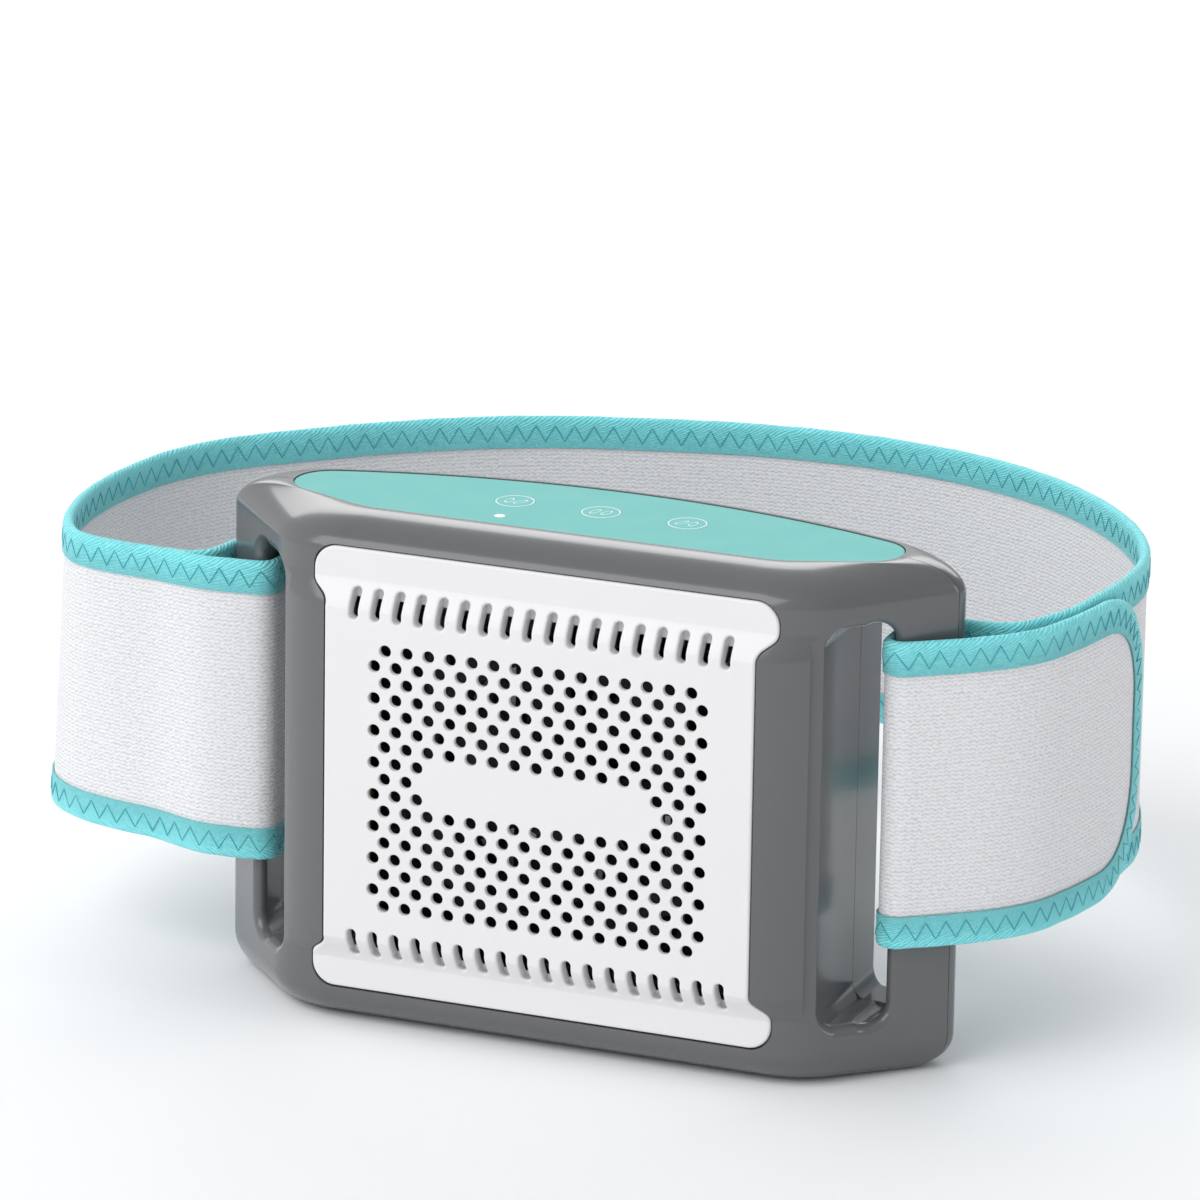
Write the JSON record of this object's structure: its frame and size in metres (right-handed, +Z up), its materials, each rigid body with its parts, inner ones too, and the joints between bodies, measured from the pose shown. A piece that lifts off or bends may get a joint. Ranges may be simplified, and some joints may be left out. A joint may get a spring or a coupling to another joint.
{
  "type": "fat freezing device",
  "caption": "Cooling belt device: a vented two-shell housing with a key panel on top and a cold plate at the back, worn on a wide elastic strap through slots at both ends.",
  "frame": {"origin": "on the housing's flat underside, at the middle of its length, below the parting line of the shells", "axes": "+X along the housing's length to the wearer's strap end with the free tab, +Y from the vent grille to the cold plate, +Z up from the underside to the key panel"},
  "size_m": [0.2821, 0.1944, 0.131],
  "materials": {
    "grey_housing": "smooth glossy moulded ABS",
    "white_grille": "satin moulded ABS",
    "teal_panel": "satin moulded ABS",
    "lens": "clear to milky light guide",
    "teal_tape": "ribbed woven edge tape",
    "white_webbing": "knitted elastic webbing with a looped face",
    "hook_nylon": "nylon hook tape",
    "black_plastic": "moulded black plastic",
    "green_board": "solder mask",
    "seal_silicone": "soft silicone",
    "foam": "closed-cell foam",
    "ceramic": "white ceramic",
    "copper": "enamelled copper wire",
    "aluminium": "brushed and clear anodised",
    "steel": "zinc-plated"
  },
  "bodies": {
    "housing": {"front_shell": "grey_housing", "rear_shell": "grey_housing", "front_grille": "white_grille", "top_panel": "teal_panel", "indicator_lens": "lens", "indicator_lamp": "ceramic", "control_board": "green_board", "board_screw_left_front": "steel", "board_screw_right_front": "steel", "board_screw_left_rear": "steel", "board_screw_right_rear": "steel", "key_switch_left": "black_plastic", "key_switch_middle": "black_plastic", "key_switch_right": "black_plastic", "ribbon_socket": "ceramic", "cold_plate": "aluminium", "plate_seal": "seal_silicone", "temperature_sensor": "black_plastic", "thermoelectric_module": "ceramic", "insulation_frame": "foam", "heat_sink": "aluminium", "clamp_screw_left_low": "steel", "clamp_screw_left_high": "steel", "clamp_screw_right_low": "steel", "clamp_screw_right_high": "steel", "fan_screw_left_low": "steel", "fan_screw_left_high": "steel", "fan_screw_right_low": "steel", "fan_screw_right_high": "steel", "fan_frame": "black_plastic", "main_board": "green_board", "power_coil": "copper", "capacitor": "black_plastic", "driver_chip": "black_plastic", "power_inlet": "black_plastic", "shell_screw_left_low": "steel", "shell_screw_right_low": "steel", "shell_screw_left_high": "steel", "shell_screw_right_high": "steel", "strap_webbing": "white_webbing", "strap_upper_binding": "teal_tape", "strap_lower_binding": "teal_tape"},
    "fan": {"fan_rotor": "black_plastic"},
    "key_cap_left": {"key_left": "teal_panel"},
    "key_cap_middle": {"key_middle": "teal_panel"},
    "key_cap_right": {"key_right": "teal_panel"},
    "tab": {"tab_webbing": "white_webbing", "tab_binding": "teal_tape", "hook_pad": "hook_nylon"}
  },
  "joints": [
    {"name": "fan_spin", "type": "hinge", "parent": "housing", "child": "fan", "pos_m": [0, -0.012, 0.0655], "axis": [0, 1, 0], "continuous": true},
    {"name": "key_left_press", "type": "slide", "parent": "housing", "child": "key_cap_left", "axis": [0, 0, -1], "range_m": [0, 0.0004], "stiffness_N_per_m": 4000},
    {"name": "key_middle_press", "type": "slide", "parent": "housing", "child": "key_cap_middle", "axis": [0, 0, -1], "range_m": [0, 0.0004], "stiffness_N_per_m": 4000},
    {"name": "key_right_press", "type": "slide", "parent": "housing", "child": "key_cap_right", "axis": [0, 0, -1], "range_m": [0, 0.0004], "stiffness_N_per_m": 4000},
    {"name": "tab_peel", "type": "hinge", "parent": "housing", "child": "tab", "pos_m": [0.09199, -0.00689, 0.074], "axis": [0, 0, -1], "range_deg": [0, 90]}
  ]
}
